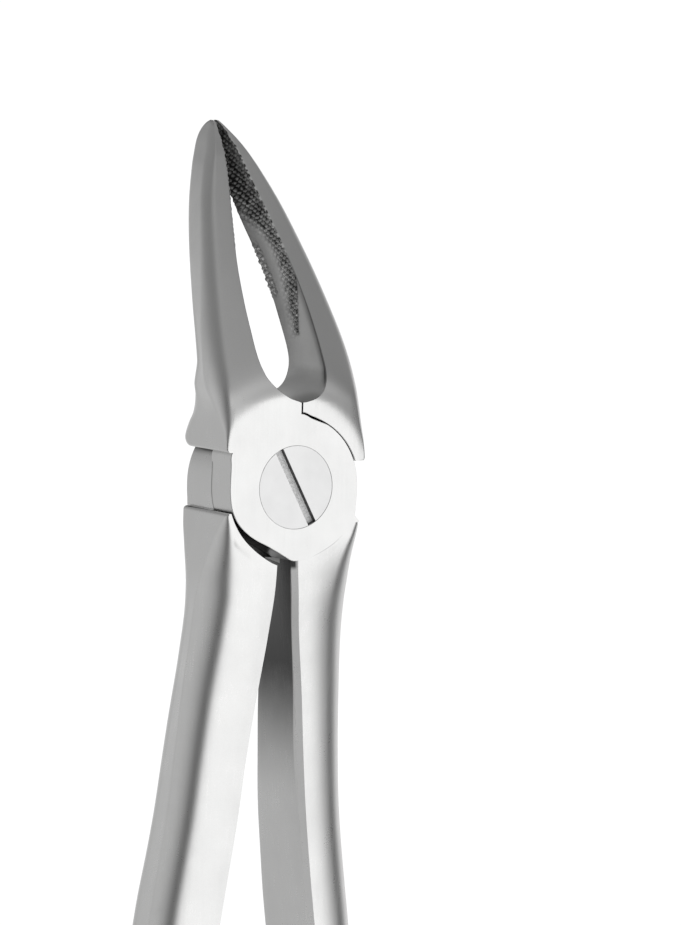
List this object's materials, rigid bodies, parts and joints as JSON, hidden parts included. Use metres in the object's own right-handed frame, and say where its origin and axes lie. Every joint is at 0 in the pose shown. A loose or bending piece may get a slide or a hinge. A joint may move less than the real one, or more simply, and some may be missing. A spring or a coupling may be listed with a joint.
{
  "type": "extraction forceps",
  "caption": "Dental upper-root extraction forceps: two crossed lap-jointed arms on a slotted screw, back-leaning serrated beaks and bowed handles.",
  "frame": {"origin": "on the pivot axis, at the flat back face of the joint (the flush end of the screw)", "axes": "+Z along the closed instrument towards the beaks, +Y out of the joint's back face, the way the beaks lean, +X towards the right beak seen from the screw head"},
  "size_m": [0.035, 0.0227, 0.1738],
  "materials": {
    "satin_steel": "satin stainless steel, ground bright on the flat joint faces",
    "screw_steel": "polished stainless steel with a milled slot"
  },
  "bodies": {
    "rear_arm": {"rear_arm": "satin_steel", "pivot_screw": "screw_steel"},
    "front_arm": {"front_arm": "satin_steel"}
  },
  "joints": [
    {"name": "arms_open", "type": "hinge", "parent": "rear_arm", "child": "front_arm", "pos_m": [0, -0.0055, 0], "axis": [0, -1, 0], "range_deg": [0, 30]}
  ]
}
